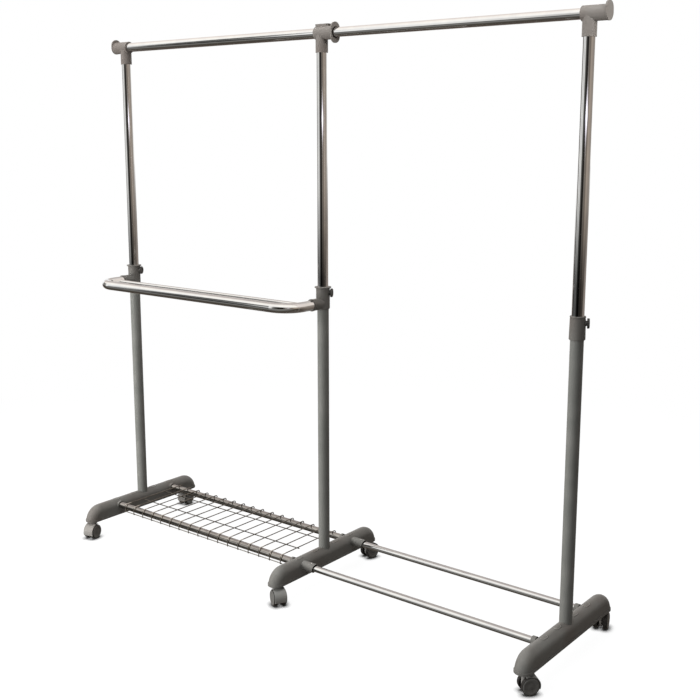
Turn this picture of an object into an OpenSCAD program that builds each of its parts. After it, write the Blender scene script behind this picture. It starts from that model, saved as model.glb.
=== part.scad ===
// Rolling clothes rack with three height-adjustable posts and two hanging bays.
// The right-hand end pulls out sideways: its rail and floor rods slide inside the left ones.
// Millimetres. X runs along the rack, Y from front to back, Z up, floor at Z = 0.

/* [Overall] */
// Distance between the left and the middle post
left_bay = 790; // [700:5:1000]
// Distance between the middle and the right post, as pulled out
right_bay = 768; // [640:4:840]
// Height of the hanging rail's axis
rail_height = 1534; // [1400:2:1700]
// Height of the top of the clamp collars
collar_top = 858; // [780:2:940]

/* [Tubes] */
// Outside diameter of the grey lower posts
lower_tube_d = 32; // [30:0.5:36]
// Wall of the post tubes
post_wall = 1; // [0.8:0.1:1.4]
// Outside diameter of the left hanging rail
rail_d = 27; // [25:0.5:29]
// Wall of the hanging rails
rail_wall = 0.8; // [0.6:0.1:1.2]
// Outside diameter of the shelf tubes
shelf_tube_d = 20; // [18:0.5:21]
// Wall of the shelf tubes and floor rods
rod_wall = 0.7; // [0.6:0.1:1]
// Radial gap between a tube and the tube that slides in it
slide_gap = 0.3; // [0.25:0.05:0.4]
// Radial gap of a tube in its plastic socket
socket_gap = 0.1; // [0.05:0.01:0.15]
// Length of upper post below the top of the collar
post_overlap = 158; // [140:2:240]
// Length of right rail inside the left rail, from the middle post
rail_overlap = 160; // [120:5:200]
// Length of floor rod inside the shelf tube, from the middle post
rod_overlap = 140; // [100:5:180]

/* [Feet] */
// Length of a foot without its bottom lip
foot_length = 457; // [440:1:520]
// Width of a foot without its bottom lip
foot_width = 43; // [42:1:50]
// Height of the foot moulding
foot_height = 48; // [46:1:52]
// Height of the foot's open underside above the floor
foot_ground = 54; // [54:1:62]
// Wall of the foot moulding
foot_wall = 3; // [2:0.25:4]
// How far the bottom lip stands out
lip_out = 1.5; // [0.8:0.1:2]
// Height of the bottom lip
lip_height = 6; // [3:0.5:9]
// Thickness of the ribs under the foot
rib = 2; // [1.5:0.25:3]
// Distance between the front and the back rod
rod_spacing = 224; // [200:2:240]
// Height of the rods above the underside of the foot
rod_rise = 31; // [28:1:33]
// Wall of the rod sockets
rod_socket_wall = 3; // [2:0.5:4]
// Reach of the long sockets from the middle post
socket_reach = 62; // [50:1:75]
// Distance of the inner moulded ovals from the post
oval_place = 44; // [40:1:54]
// Length of a moulded oval
oval_length = 26; // [18:1:28]
// Width of a moulded oval
oval_width = 13; // [8:1:14]
// Depth of the recess for the post's bolt head
bolt_recess = 8; // [7:0.5:10]
// Floor between the bolt head and the post
post_floor = 5; // [4:0.5:7]
// Length of the straight part of the plug in the foot of a post
plug_length = 24; // [20:1:40]
// Diameter of the bolt that holds a post
bolt_d = 8; // [6:1:8]

/* [Casters] */
// Distance of a caster's stem from the end of the foot
caster_inset = 25.5; // [22.5:0.5:33]
// Diameter of a caster wheel
wheel_d = 44; // [40:1:45]
// Width of a wheel's tread
tread_width = 11; // [8:0.5:13]
// Distance of the axle behind the stem
trail = 11; // [10.5:0.25:13]
// Thickness of the hood's shell
hood_wall = 2; // [1.5:0.25:2.5]
// Diameter of the steel stem
stem_d = 8; // [7:0.5:9]
// Diameter of the axle
axle_d = 4; // [3:0.5:5]

/* [Collars] */
// Outside diameter of a clamp collar
collar_d = 38; // [37:0.5:44]
// Height of the left and middle collars
collar_height = 62; // [58:1:72]
// Height of the right collar
end_collar_height = 55.5; // [44:0.5:60]
// Length of collar above the end of the lower post
guide_length = 24; // [24:0.5:27]
// Diameter of the top flange
flange_d = 46; // [44:1:52]
// Thickness of the top flange
flange_t = 2.5; // [2:0.25:3.5]
// Height of the clamp screw below the top of the collar
screw_drop = 16.5; // [14:0.25:17]
// Direction of the clamp screws round the posts, from the rail's direction towards the back
clamp_angle = 28; // [-40:1:60]
// Diameter of the clamp screw
screw_d = 6; // [5:0.5:7]
// Diameter of the clamp knob
knob_d = 24; // [20:1:30]
// Thickness of the clamp knob
knob_t = 5.5; // [4:0.5:10]
// Thickness of the pressure pad
pad_t = 1.5; // [1:0.25:2]
// How far the pad backs off the post
pad_travel = 1; // [0.5:0.1:1]

/* [Lower hanging bar] */
// Diameter of the lower hanging bar
bar_d = 28; // [25:0.5:30]
// Wall of the lower hanging bar
bar_wall = 1.2; // [0.8:0.1:1.6]
// Distance of the bar's front run from the posts
bar_reach = 143; // [130:1:220]
// Radius of the bar's bends
bar_bend = 60; // [45:1:70]
// Height of the bar below the top of the collars
bar_drop = 46; // [42:0.5:47]
// Length of the collar's socket from the post
bar_socket = 50; // [40:1:56]
// Wall of the collar's socket
bar_socket_wall = 2; // [1.5:0.25:2.5]
// Diameter of the slim rod behind the front run
tie_d = 12; // [8:0.5:14]
// Distance of the slim rod from the posts
tie_reach = 65; // [64:1:70]

/* [Tees] */
// Outside diameter of the tees along the rail
tee_d = 35; // [33:0.5:40]
// Wall of the tee's leg
tee_wall = 1.8; // [1.5:0.1:3]
// Length of the tee's leg below the rail's axis
tee_leg = 50; // [44:1:60]
// Distance from the post to the tee's flange
tee_out = 43; // [36:1:50]
// Length of the tee on the side without a flange
tee_in = 17; // [16.5:0.5:26]
// Thickness of the tee's flange
cap_t = 4; // [3:0.5:6]
// Height of an end flange above its round part
cap_rise = 7.4; // [4:0.2:12]
// Rise and drop of the middle flange
mid_cap_rise = 9; // [6:0.5:12]
// Height of the rib along the middle tee
tee_rib = 6; // [3:0.5:9]
// Length of that rib towards the pull-out end
tee_rib_out = 26; // [24:1:32]

/* [Wire shelf] */
// Diameter of the shelf wires
wire_d = 3; // [2.5:0.25:4]
// Number of cross wires
wire_count = 17; // [9:2:19]
// Distance from one cross wire to the next
wire_pitch = 42; // [30:1:42]
// Depth of the hooks below the top of the shelf tubes
hook_drop = 24; // [18:1:26]
// Bend radius of the cross wires
wire_bend = 6; // [4:0.5:8]
// Distance of the two middle wires from the shelf's centre line
middle_wire = 47; // [30:1:60]

/* [Hidden] */
$fn = 64;

// A hair past a face, so that cuts go right through
eps = 0.01;

// Places of the three posts; the two end tees reach equally far, so the rack is centred
left_x = -(left_bay + right_bay) / 2;
mid_x = left_x + left_bay;
right_x = mid_x + right_bay;

// Tubes that slide in other tubes
upper_tube_d = lower_tube_d - 2 * (post_wall + slide_gap);
right_rail_d = rail_d - 2 * (rail_wall + slide_gap);
rod_d = shelf_tube_d - 2 * (rod_wall + slide_gap);

// Casters stand at the ends of the feet
caster_spacing = foot_length - 2 * caster_inset;

// Heights
foot_top = foot_ground + foot_height;
rod_z = foot_ground + rod_rise;
post_seat = foot_ground + bolt_recess + post_floor;
lower_tube_top = collar_top - guide_length;
upper_tube_bottom = collar_top - post_overlap;
screw_z = collar_top - screw_drop;
bar_z = collar_top - bar_drop;
tee_bottom = rail_height - tee_leg;
upper_tube_top = rail_height - rail_d / 2 - tee_wall - 1;

// Caster sizes worked out from the wheel and the stem
axle_z = wheel_d / 2;
hood_in = wheel_d / 2 + 1;
hood_out = hood_in + hood_wall;
stem_boss_d = stem_d + 5;
tread_in = stem_boss_d / 2 + 0.5;
wheel_out = tread_in + tread_width;
hood_half = wheel_out - 1.5;
web_from = -14;
web_to = 109;
hood_top = foot_ground - 3.8;
washer_t = foot_ground - hood_top - slide_gap;
sleeve_d = stem_d + 3;
sleeve_length = 30;
stem_bottom = axle_z + stem_d;

// Swivel angles of the six casters as the rack stands: the direction in which each trails
swivel_lf = -75;
swivel_lb = -83;
swivel_mf = -30;
swivel_mb = 77;
swivel_rf = 50;
swivel_rb = 105;

// ---- Small shapes shared by several pieces ----

// Cylinder along X from x0 to x1
module x_rod(d, x0, x1) {
    translate([x0, 0, 0])
        rotate([0, 90, 0])
            cylinder(d = d, h = x1 - x0);
}

// Cylinder along Y from y0 to y1
module y_rod(d, y0, y1) {
    translate([0, y1, 0])
        rotate([90, 0, 0])
            cylinder(d = d, h = y1 - y0);
}

// Round tube along X
module x_tube(d, wall, x0, x1) {
    difference() {
        x_rod(d, x0, x1);
        x_rod(d - 2 * wall, x0 - eps, x1 + eps);
    }
}

// Round tube standing up
module z_tube(d, wall, z0, z1) {
    translate([0, 0, z0])
        difference() {
            cylinder(d = d, h = z1 - z0);
            translate([0, 0, -eps])
                cylinder(d = d - 2 * wall, h = z1 - z0 + 2 * eps);
        }
}

// Outline with two round ends, long axis along Y
module stadium(length, width) {
    translate([-width / 2, -(length - width) / 2])
        square([width, length - width]);
    for (side = [-1, 1])
        translate([0, side * (length - width) / 2])
            circle(d = width);
}

// ---- Feet ----

// Arch outline standing on the X axis: straight sides and a half-round top
module arch(width, height) {
    translate([-width / 2, 0])
        square([width, height - width / 2]);
    translate([0, height - width / 2])
        circle(d = width);
}

// Bar with the arch as its section and both ends domed by swinging the arch down to the floor line
module domed_bar(length, width, height) {
    run = length / 2 - height;
    translate([0, run, 0])
        rotate([90, 0, 0])
            linear_extrude(2 * run)
                arch(width, height);
    for (side = [0, 1])
        mirror([0, side, 0])
            translate([0, run, 0])
                rotate([90, 0, 90])
                    rotate_extrude(angle = 90)
                        rotate(-90)
                            arch(width, height);
}

module foot_outside() {
    domed_bar(foot_length, foot_width, foot_height);
}

module foot_inside() {
    domed_bar(foot_length - 2 * foot_wall, foot_width - 2 * foot_wall, foot_height - foot_wall);
}

// Open-bottomed shell with its lip
module foot_shell() {
    difference() {
        union() {
            foot_outside();
            linear_extrude(lip_height)
                stadium(foot_length + 2 * lip_out, foot_width + 2 * lip_out);
        }
        translate([0, 0, -eps])
            foot_inside();
    }
}

// Shallow ovals moulded on the top of the foot
module foot_ovals() {
    for (place = [-rod_spacing / 2, -oval_place, oval_place, rod_spacing / 2])
        intersection() {
            translate([0, place, foot_height / 2])
                linear_extrude(foot_height)
                    stadium(oval_length, oval_width);
            difference() {
                domed_bar(foot_length, foot_width + 1, foot_height + 0.5);
                translate([0, 0, -eps])
                    foot_inside();
            }
        }
}

// What stands inside the shell: post socket, caster bosses, rod sockets and ribs
module foot_core(tube_d) {
    intersection() {
        foot_outside();
        union() {
            translate([0, 0, bolt_recess])
                cylinder(d = lower_tube_d + 2 * foot_wall, h = foot_height);
            for (side = [-1, 1]) {
                translate([0, side * caster_spacing / 2, 0])
                    cylinder(d = sleeve_d + 2 * foot_wall, h = foot_height);
                translate([0, side * rod_spacing / 2, rod_rise])
                    x_rod(tube_d + 2 * rod_socket_wall, -foot_width / 2, foot_width / 2);
                for (place = [0.32, 0.68])
                    translate([-foot_width / 2, side * place * rod_spacing / 2 - rib / 2, rib])
                        cube([foot_width, rib, foot_height]);
                translate([-foot_width / 2, side * (rod_spacing + caster_spacing) / 4 - rib / 2, rib])
                    cube([foot_width, rib, foot_height]);
            }
            translate([-rib / 2, -caster_spacing / 2, foot_height / 2])
                cube([rib, caster_spacing, foot_height / 2]);
        }
    }
}

// Holes that every foot has: for the post, its bolt and the two caster sleeves
module foot_bores() {
    translate([0, 0, bolt_recess + post_floor])
        cylinder(d = lower_tube_d + 2 * socket_gap, h = foot_height);
    translate([0, 0, -eps])
        cylinder(d = 8.4, h = foot_height);
    for (side = [-1, 1])
        translate([0, side * caster_spacing / 2, -eps])
            cylinder(d = sleeve_d + 2 * socket_gap, h = sleeve_length + 1);
}

// A foot; reach_in and reach_out are how far its rod sockets stand out to -X and +X
module foot(tube_d, reach_in, reach_out, bore_from, bore_to) {
    socket_d = tube_d + 2 * rod_socket_wall;
    difference() {
        union() {
            foot_shell();
            foot_ovals();
            foot_core(tube_d);
            for (side = [-1, 1])
                translate([0, side * rod_spacing / 2, rod_rise])
                    difference() {
                        x_rod(socket_d, -reach_in, reach_out);
                        x_rod(socket_d + 1, -foot_width / 2 + foot_wall, foot_width / 2 - foot_wall);
                    }
        }
        foot_bores();
        for (side = [-1, 1])
            translate([0, side * rod_spacing / 2, rod_rise])
                x_rod(tube_d + 2 * socket_gap, bore_from, bore_to);
    }
}

module left_foot() {
    color("#6f6b66")
        translate([left_x, 0, foot_ground])
            foot(shelf_tube_d, 0, foot_width / 2 + 4, -foot_width / 2 + foot_wall + 2, foot_width);
}

// The middle foot's long sockets have a slanted mouth, a wider rim bore and a button hole on top
module mid_foot() {
    socket_d = shelf_tube_d + 2 * rod_socket_wall;
    color("#6f6b66")
        translate([mid_x, 0, foot_ground])
            difference() {
                foot(shelf_tube_d, foot_width / 2 + 4, socket_reach, -foot_width, socket_reach + 1);
                for (side = [-1, 1])
                    translate([0, side * rod_spacing / 2, rod_rise]) {
                        x_rod(shelf_tube_d + 2.4, socket_reach - 9, socket_reach + 1);
                        translate([(socket_reach + foot_width / 2) / 2 + 6, 0, 0])
                            cylinder(d = 4.5, h = socket_d);
                        translate([socket_reach, 0, socket_d / 2])
                            rotate([0, 14, 0])
                                translate([0, -socket_d, -2 * socket_d])
                                    cube([socket_d, 2 * socket_d, 2 * socket_d + 2]);
                    }
            }
}

module right_foot() {
    color("#6f6b66")
        translate([right_x, 0, foot_ground])
            foot(rod_d, foot_width / 2 + 8, 0, -foot_width, foot_width / 2 - foot_wall - 2);
}

// ---- Posts ----

module lower_tube(x) {
    color("#7d7c78")
        translate([x, 0, 0])
            z_tube(lower_tube_d, post_wall, post_seat, lower_tube_top);
}

module left_lower_tube() {
    lower_tube(left_x);
}

module mid_lower_tube() {
    lower_tube(mid_x);
}

module right_lower_tube() {
    lower_tube(right_x);
}

module upper_tube(x) {
    color("#d8d8d6")
        translate([x, 0, 0])
            z_tube(upper_tube_d, post_wall, upper_tube_bottom, upper_tube_top);
}

module left_upper_tube() {
    upper_tube(left_x);
}

module mid_upper_tube() {
    upper_tube(mid_x);
}

module right_upper_tube() {
    upper_tube(right_x);
}

// Plug pressed into the foot of a post, tapped for the bolt
module post_plug(x) {
    color("#2c2b2a")
        translate([x, 0, post_seat])
            difference() {
                union() {
                    cylinder(d = lower_tube_d - 2 * post_wall - 2 * socket_gap, h = plug_length);
                    translate([0, 0, plug_length])
                        cylinder(d1 = lower_tube_d - 2 * post_wall - 2 * socket_gap, d2 = 20, h = 4);
                }
                translate([0, 0, -eps])
                    cylinder(d = bolt_d + 0.2, h = plug_length - 4);
            }
}

// Bolt that holds the post in the foot from below
module post_bolt(x) {
    color("#9a9a98")
        translate([x, 0, foot_ground + bolt_recess]) {
            translate([0, 0, -5.3])
                difference() {
                    cylinder(d = 15, h = 5.3 - 0.05);
                    translate([0, 0, -eps])
                        cylinder(d = 7, h = 3.2, $fn = 6);
                }
            translate([0, 0, -0.1])
                cylinder(d = bolt_d, h = post_floor + plug_length - 6);
        }
}

module post_plugs() {
    post_plug(left_x);
    post_plug(mid_x);
}

module post_bolts() {
    post_bolt(left_x);
    post_bolt(mid_x);
}

module right_post_plug() {
    post_plug(right_x);
}

module right_post_bolt() {
    post_bolt(right_x);
}

// ---- Clamp collars ----

// Bores of a collar: wide around the lower post, close around the upper one, and the clamp's pocket
module collar_bores(height) {
    translate([0, 0, collar_top - height - flange_d / 4])
        cylinder(d = lower_tube_d + 2 * socket_gap, h = height + flange_d / 4 - guide_length);
    translate([0, 0, collar_top - height])
        cylinder(d = upper_tube_d + 2 * slide_gap, h = height + 1);
    translate([0, 0, screw_z])
        rotate([0, 0, clamp_angle]) {
            x_rod(screw_d + 0.16, 0, collar_d);
            translate([0, -4.2, -6.2])
                cube([upper_tube_d / 2 + slide_gap + pad_t + pad_travel + 0.2, 8.4, 12.4]);
        }
}

// Round boss that the clamp screw threads through
module clamp_boss() {
    translate([0, 0, screw_z])
        rotate([0, 0, clamp_angle])
            x_rod(screw_d + 8, upper_tube_d / 2, collar_d / 2 + 0.6);
}

// Collar with a forward socket for the lower hanging bar
module tee_collar(x) {
    body = collar_height - flange_t - 3;
    socket_d = bar_d + 2 * (bar_socket_wall + socket_gap);
    color("#625f5b")
        translate([x, 0, 0])
            difference() {
                union() {
                    translate([0, 0, collar_top - collar_height])
                        cylinder(d1 = collar_d - 4, d2 = collar_d, h = 3);
                    translate([0, 0, collar_top - flange_t - body])
                        cylinder(d = collar_d, h = body);
                    translate([0, 0, collar_top - flange_t])
                        cylinder(d = flange_d, h = flange_t);
                    translate([0, 0, collar_top - flange_t - 3])
                        cylinder(d1 = collar_d, d2 = collar_d + 4, h = 3);
                    translate([0, 0, bar_z]) {
                        y_rod(socket_d, -bar_socket, 0);
                        y_rod(socket_d + 1.6, -bar_socket, -bar_socket + 3);
                    }
                    clamp_boss();
                }
                collar_bores(collar_height);
                translate([0, 0, bar_z])
                    y_rod(bar_d + 2 * socket_gap, -bar_socket - 1, -lower_tube_d / 2 - 2);
            }
}

module left_collar() {
    tee_collar(left_x);
}

module mid_collar() {
    tee_collar(mid_x);
}

// Plain, slightly tapered collar with a ring round its top
module right_collar() {
    color("#625f5b")
        translate([right_x, 0, 0])
            difference() {
                union() {
                    translate([0, 0, collar_top - end_collar_height])
                        cylinder(d1 = collar_d - 1.6, d2 = collar_d + 0.6, h = 1.5);
                    translate([0, 0, collar_top - end_collar_height + 1.5])
                        cylinder(d1 = collar_d + 0.6, d2 = collar_d - 1.4, h = end_collar_height - 6.5);
                    translate([0, 0, collar_top - 5])
                        cylinder(d = collar_d - 3, h = 2);
                    translate([0, 0, collar_top - 3])
                        cylinder(d = collar_d - 0.6, h = 3);
                    clamp_boss();
                }
                collar_bores(end_collar_height);
            }
}

// Pressure pad between the screw and the upper post
module pad(x) {
    color("#2c2b2a")
        translate([x, 0, screw_z])
            rotate([0, 0, clamp_angle])
                translate([upper_tube_d / 2 + slide_gap, -4, -6])
                    cube([pad_t, 8, 12]);
}

module left_pad() {
    pad(left_x);
}

module mid_pad() {
    pad(mid_x);
}

module right_pad() {
    pad(right_x);
}

// Fluted knob with its screw
module knob(x) {
    screw_from = upper_tube_d / 2 + slide_gap + pad_t + 0.1;
    knob_from = collar_d / 2 + 2.7;
    color("#3a3937")
        translate([x, 0, screw_z])
            rotate([0, 0, clamp_angle])
                difference() {
                    union() {
                        x_rod(screw_d, screw_from, knob_from + 1);
                        x_rod(screw_d + 6, knob_from - 1.8, knob_from + 1);
                        x_rod(knob_d, knob_from, knob_from + knob_t - 1);
                        translate([knob_from + knob_t - 1, 0, 0])
                            rotate([0, 90, 0])
                                cylinder(d1 = knob_d, d2 = knob_d - 2, h = 1);
                    }
                    for (turn = [0 : 30 : 330])
                        rotate([turn, 0, 0])
                            translate([0, 0, knob_d / 2 + 0.7])
                                x_rod(3.6, knob_from - eps, knob_from + knob_t + eps);
                    x_rod(knob_d * 0.55, knob_from + knob_t - 1, knob_from + knob_t + 1);
                }
}

module left_knob() {
    knob(left_x);
}

module mid_knob() {
    knob(mid_x);
}

module right_knob() {
    knob(right_x);
}

// ---- Tees and hanging rails ----

// Outline of a tee's flange, raised and lowered from its round part; stands across the rail
module cap_outline(rise, drop) {
    for (z = [rise, -drop])
        translate([0, z])
            circle(d = tee_d + 1);
    translate([-(tee_d + 1) / 2, -drop])
        square([tee_d + 1, rise + drop]);
}

// Tee on its post; the flange is on the +X side
module tee_body(rise, drop) {
    translate([0, 0, rail_height]) {
        x_rod(tee_d, -tee_in, tee_out + eps);
        translate([tee_out, 0, 0])
            rotate([90, 0, 90])
                linear_extrude(cap_t)
                    cap_outline(rise, drop);
    }
    translate([0, 0, tee_bottom])
        cylinder(d = upper_tube_d + 2 * (socket_gap + tee_wall), h = tee_leg);
}

// Blind hole in the leg for the upper post
module leg_bore() {
    translate([0, 0, tee_bottom - eps])
        cylinder(d = upper_tube_d + 2 * socket_gap, h = upper_tube_top - tee_bottom + 0.2);
}

// End tee: closed behind its flange
module end_tee(tube_d) {
    difference() {
        tee_body(cap_rise, 0);
        leg_bore();
        translate([0, 0, rail_height])
            x_rod(tube_d + 2 * socket_gap, -tee_in - 1, tee_out - 3);
    }
}

module left_tee() {
    color("#77726d")
        translate([left_x, 0, 0])
            mirror([1, 0, 0])
                end_tee(rail_d);
}

module right_tee() {
    color("#77726d")
        translate([right_x, 0, 0])
            end_tee(right_rail_d);
}

// Middle tee: open both ways, with a rib and a button slot on top
module mid_tee() {
    color("#77726d")
        translate([mid_x, 0, 0])
            difference() {
                union() {
                    tee_body(mid_cap_rise, mid_cap_rise);
                    translate([-tee_in, -6, rail_height])
                        cube([tee_in + tee_rib_out, 12, tee_d / 2 + tee_rib]);
                }
                leg_bore();
                translate([0, 0, rail_height]) {
                    x_rod(rail_d + 2 * socket_gap, -tee_in - 1, tee_out - 5);
                    x_rod(right_rail_d + 2 * slide_gap, 0, tee_out + cap_t);
                    x_rod(rail_d + 3, tee_out - 3, tee_out + cap_t + 1);
                }
                translate([20, -7, rail_height + tee_d / 2 + 1])
                    cube([3, 14, tee_rib]);
            }
}

module left_rail() {
    color("#d8d8d6")
        translate([0, 0, rail_height])
            x_tube(rail_d, rail_wall, left_x - tee_out + 3.2, mid_x + tee_out - 5.2);
}

module right_rail() {
    color("#d8d8d6")
        translate([0, 0, rail_height])
            x_tube(right_rail_d, rail_wall, mid_x - rail_overlap, right_x + tee_out - 3.2);
}

// ---- Lower hanging bar ----

// The bar's U-shaped run, as solid rod of the given diameter; cut is added to its ends
module bar_run(d, cut) {
    back = lower_tube_d / 2 + 4;
    run = left_bay - 2 * bar_bend;
    for (x = [left_x, mid_x])
        translate([x, 0, bar_z])
            y_rod(d, -bar_reach + bar_bend, -back + cut);
    translate([left_x + bar_bend, -bar_reach, bar_z])
        x_rod(d, 0, run);
    translate([left_x + bar_bend, -bar_reach + bar_bend, bar_z])
        rotate([0, 0, 180])
            rotate_extrude(angle = 90)
                translate([bar_bend, 0])
                    circle(d = d);
    translate([mid_x - bar_bend, -bar_reach + bar_bend, bar_z])
        rotate([0, 0, -90])
            rotate_extrude(angle = 90)
                translate([bar_bend, 0])
                    circle(d = d);
}

module hanging_bar() {
    color("#d8d8d6")
        difference() {
            bar_run(bar_d, 0);
            bar_run(bar_d - 2 * bar_wall, 1);
        }
}

// Slim rod between the bar's two legs, its ends shaped to them
module tie_rod() {
    color("#d8d8d6")
        difference() {
            translate([0, -tie_reach, bar_z])
                x_tube(tie_d, 1, left_x, mid_x);
            for (x = [left_x, mid_x])
                translate([x, 0, bar_z])
                    y_rod(bar_d + 0.1, -tie_reach - tie_d, -tie_reach + tie_d);
        }
}

// ---- Shelf tubes and floor rods ----

module shelf_tube(y) {
    color("#d8d8d6")
        translate([0, y, rod_z])
            x_tube(shelf_tube_d, rod_wall, left_x - foot_width / 2 + foot_wall + 2.2, mid_x + socket_reach - 9.2);
}

module front_shelf_tube() {
    shelf_tube(-rod_spacing / 2);
}

module back_shelf_tube() {
    shelf_tube(rod_spacing / 2);
}

module floor_rod(y) {
    color("#d8d8d6")
        translate([0, y, rod_z])
            x_tube(rod_d, rod_wall, mid_x - rod_overlap, right_x + foot_width / 2 - foot_wall - 2.2);
}

module front_rod() {
    floor_rod(-rod_spacing / 2);
}

module back_rod() {
    floor_rod(rod_spacing / 2);
}

// ---- Wire shelf ----

// One cross wire: over both shelf tubes and down outside them
module cross_wire(half, top, drop) {
    translate([0, 0, top])
        y_rod(wire_d, -half + wire_bend, half - wire_bend);
    for (side = [0, 1])
        mirror([0, side, 0]) {
            translate([0, half - wire_bend, top - wire_bend])
                rotate([90, 0, 90])
                    rotate_extrude(angle = 90)
                        translate([wire_bend, 0])
                            circle(d = wire_d);
            translate([0, half, top - drop])
                cylinder(d = wire_d, h = drop - wire_bend);
        }
}

module wire_shelf() {
    top = rod_z + shelf_tube_d / 2 + slide_gap + wire_d / 2;
    half = (rod_spacing + shelf_tube_d + wire_d) / 2 + 0.5;
    centre = (left_x + mid_x) / 2;
    reach = (wire_count - 1) / 2 * wire_pitch + 4;
    weld = 0.9 * wire_d;
    color("#b9b9b6") {
        for (i = [0 : wire_count - 1])
            translate([centre + (i - (wire_count - 1) / 2) * wire_pitch, 0, 0])
                cross_wire(half, top, hook_drop + wire_d / 2);
        for (side = [-1, 1]) {
            translate([centre, side * middle_wire, top - weld])
                x_rod(wire_d, -reach, reach);
            translate([centre, side * (half - weld), top - hook_drop])
                x_rod(wire_d, -reach, reach);
        }
    }
}

// ---- Casters ----

// Puts a caster's piece under the foot at x, on the given side, trailing in the given direction
module at_caster(x, side, angle) {
    translate([x, side * caster_spacing / 2, 0])
        rotate([0, 0, angle])
            children();
}

// Stem with its grip sleeve and the washer under the foot
module stem() {
    color("#2c2b2a") {
        translate([0, 0, stem_bottom + slide_gap])
            cylinder(d = stem_d, h = foot_ground - stem_bottom);
        translate([0, 0, foot_ground - washer_t])
            cylinder(d = 18, h = washer_t - 0.05);
        translate([0, 0, foot_ground - 0.1])
            cylinder(d = sleeve_d, h = sleeve_length - 2);
        translate([0, 0, foot_ground + sleeve_length - 2.1])
            cylinder(d1 = sleeve_d, d2 = sleeve_d - 3, h = 2);
    }
}

// Pie slice from angle a to angle b
module pie(radius, a, b) {
    steps = 6;
    polygon(concat([[0, 0]], [for (i = [0 : steps]) let (t = a + (b - a) * i / steps) radius * [cos(t), sin(t)]]));
}

// Hood: curved shell over both wheels, a web between them, and the stem's boss
module hood() {
    color("#6a6763")
        difference() {
            union() {
                translate([trail, 0, axle_z])
                    rotate([90, 0, 0]) {
                        rotate([0, 0, -20])
                            rotate_extrude(angle = 135)
                                translate([hood_in, -hood_half])
                                    square([hood_wall, 2 * hood_half]);
                        translate([0, 0, -3])
                            cylinder(r = hood_in - 6, h = 6);
                        translate([0, 0, -3])
                            linear_extrude(6)
                                intersection() {
                                    circle(r = hood_in + hood_wall / 2);
                                    pie(2 * hood_out, web_from, web_to);
                                }
                    }
                translate([0, 0, stem_bottom - 3])
                    cylinder(d = stem_boss_d, h = hood_top - stem_bottom + 3);
                translate([0, 0, wheel_d + 1.5])
                    cylinder(d = 19, h = hood_top - wheel_d - 1.5);
            }
            translate([0, 0, stem_bottom])
                cylinder(d = stem_d + 0.16, h = foot_ground);
            translate([trail, 0, axle_z])
                y_rod(axle_d + 0.16, -hood_half, hood_half);
        }
}

// One wheel of the pair: tread, dished disc and hub turned about the axle
module wheel() {
    hub_d = axle_d + 4;
    face = wheel_out - 2.5;
    difference() {
        union() {
            translate([0, 0, tread_in + 1])
                cylinder(d = wheel_d, h = tread_width - 2);
            translate([0, 0, tread_in])
                cylinder(d1 = wheel_d - 2, d2 = wheel_d, h = 1);
            translate([0, 0, wheel_out - 1])
                cylinder(d1 = wheel_d, d2 = wheel_d - 2, h = 1);
            translate([0, 0, wheel_out - eps])
                cylinder(d1 = wheel_d - 6, d2 = wheel_d - 9, h = 0.8);
        }
        translate([0, 0, tread_in - eps])
            cylinder(d = wheel_d - 5, h = face - tread_in + eps);
        translate([0, 0, tread_in])
            cylinder(d = axle_d + 0.1, h = wheel_out - 1 - tread_in);
    }
    translate([0, 0, 3.4])
        difference() {
            cylinder(d = hub_d, h = face - 3.4 + eps);
            translate([0, 0, -eps])
                cylinder(d = axle_d + 0.1, h = face);
        }
}

module wheels() {
    color("#33322f")
        translate([trail, 0, axle_z])
            for (turn = [90, -90])
                rotate([turn, 0, 0])
                    wheel();
}

module axle() {
    color("#9a9a98")
        translate([trail, 0, axle_z])
            y_rod(axle_d, -wheel_out + 1.5, wheel_out - 1.5);
}

module stem_lf() { at_caster(left_x, -1, swivel_lf) stem(); }
module stem_lb() { at_caster(left_x, 1, swivel_lb) stem(); }
module stem_mf() { at_caster(mid_x, -1, swivel_mf) stem(); }
module stem_mb() { at_caster(mid_x, 1, swivel_mb) stem(); }
module stem_rf() { at_caster(right_x, -1, swivel_rf) stem(); }
module stem_rb() { at_caster(right_x, 1, swivel_rb) stem(); }

module hood_lf() { at_caster(left_x, -1, swivel_lf) hood(); }
module hood_lb() { at_caster(left_x, 1, swivel_lb) hood(); }
module hood_mf() { at_caster(mid_x, -1, swivel_mf) hood(); }
module hood_mb() { at_caster(mid_x, 1, swivel_mb) hood(); }
module hood_rf() { at_caster(right_x, -1, swivel_rf) hood(); }
module hood_rb() { at_caster(right_x, 1, swivel_rb) hood(); }

module wheels_lf() { at_caster(left_x, -1, swivel_lf) wheels(); }
module wheels_lb() { at_caster(left_x, 1, swivel_lb) wheels(); }
module wheels_mf() { at_caster(mid_x, -1, swivel_mf) wheels(); }
module wheels_mb() { at_caster(mid_x, 1, swivel_mb) wheels(); }
module wheels_rf() { at_caster(right_x, -1, swivel_rf) wheels(); }
module wheels_rb() { at_caster(right_x, 1, swivel_rb) wheels(); }

module axle_lf() { at_caster(left_x, -1, swivel_lf) axle(); }
module axle_lb() { at_caster(left_x, 1, swivel_lb) axle(); }
module axle_mf() { at_caster(mid_x, -1, swivel_mf) axle(); }
module axle_mb() { at_caster(mid_x, 1, swivel_mb) axle(); }
module axle_rf() { at_caster(right_x, -1, swivel_rf) axle(); }
module axle_rb() { at_caster(right_x, 1, swivel_rb) axle(); }

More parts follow.
